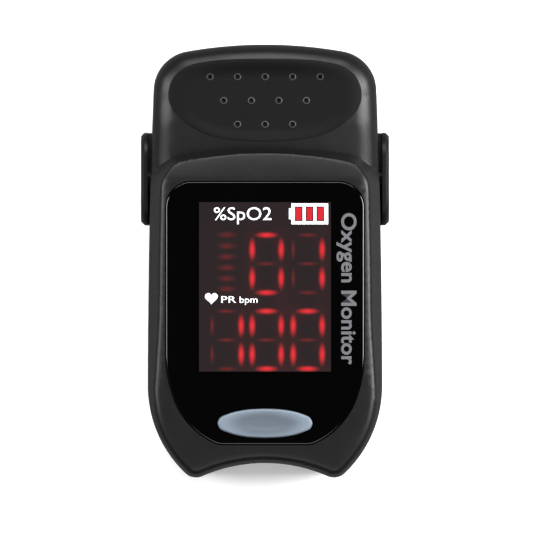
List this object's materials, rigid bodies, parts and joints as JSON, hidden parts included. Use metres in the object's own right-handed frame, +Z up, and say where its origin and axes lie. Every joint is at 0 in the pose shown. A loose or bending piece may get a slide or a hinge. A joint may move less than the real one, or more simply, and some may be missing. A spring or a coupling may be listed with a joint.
{
  "type": "fingertip pulse oximeter",
  "caption": "Fingertip pulse oximeter: a sprung clamp with a finger channel, a display under a gloss lens, a power button, a thumb grip and a sliding battery door.",
  "frame": {"origin": "centre of the base, on the battery door, midway along the length and width", "axes": "+Z up out of the display, +Y from the finger opening to the thumb grip, +X to the display's right"},
  "size_m": [0.0336, 0.0584, 0.0333],
  "materials": {
    "shell_plastic": "fine matte moulded charcoal plastic",
    "grip_rubber": "matte soft-touch black",
    "lens_black": "polished back-printed black acrylic",
    "display_face": "smoked face with red segments",
    "button_blue": "translucent pale blue, satin",
    "silicone": "soft grey silicone",
    "inner_plastic": "matte black plastic",
    "circuit_board": "green solder mask",
    "chip_black": "moulded black",
    "ceramic_tan": "fired tan ceramic",
    "switch_metal": "stamped steel",
    "spring_steel": "drawn steel wire",
    "nickel": "nickel plate",
    "cell_jacket": "plain printed cell jacket with no marks",
    "flex_amber": "polyimide flex",
    "wire_jacket": "soft wire insulation",
    "sensor_clear": "clear epoxy lens"
  },
  "bodies": {
    "lower_half": {"bottom_case": "shell_plastic", "battery_left": "cell_jacket", "battery_right": "cell_jacket", "contact_plates": "nickel", "contact_holders": "inner_plastic", "contact_springs": "spring_steel", "lower_inner_cover": "inner_plastic", "lower_finger_pad": "silicone", "sensor_strip": "flex_amber", "photodiode": "sensor_clear", "lower_screws": "spring_steel", "hinge_pins": "spring_steel", "clamp_springs": "spring_steel", "hinge_ribbon": "flex_amber", "battery_leads": "wire_jacket"},
    "upper_half": {"top_cover": "shell_plastic", "thumb_grip": "grip_rubber", "display_lens": "lens_black", "led_display": "display_face", "main_board": "circuit_board", "microcontroller": "chip_black", "analog_front_end": "chip_black", "crystal": "switch_metal", "boost_inductor": "chip_black", "capacitors": "ceramic_tan", "switch_housing": "switch_metal", "upper_inner_cover": "inner_plastic", "upper_finger_pad": "silicone", "emitter_board": "circuit_board", "led_emitter": "sensor_clear", "upper_screws": "spring_steel"},
    "button": {"power_button": "button_blue", "switch_plunger": "chip_black"},
    "door": {"battery_door": "shell_plastic"}
  },
  "joints": [
    {"name": "clamp_hinge", "type": "hinge", "parent": "lower_half", "child": "upper_half", "pos_m": [0, 0.0109, 0.0205], "axis": [-1, 0, 0], "range_deg": [0, 20], "stiffness_Nm_per_rad": 0.15, "springref_deg": -20.05, "deforming": ["clamp_springs", "hinge_ribbon"]},
    {"name": "button_press", "type": "slide", "parent": "upper_half", "child": "button", "axis": [0, 0, -1], "range_m": [0, 0.0005], "stiffness_N_per_m": 3000, "springref_m": -0.0001},
    {"name": "door_slide", "type": "slide", "parent": "lower_half", "child": "door", "axis": [0, 1, 0], "range_m": [0, 0.052]}
  ]
}
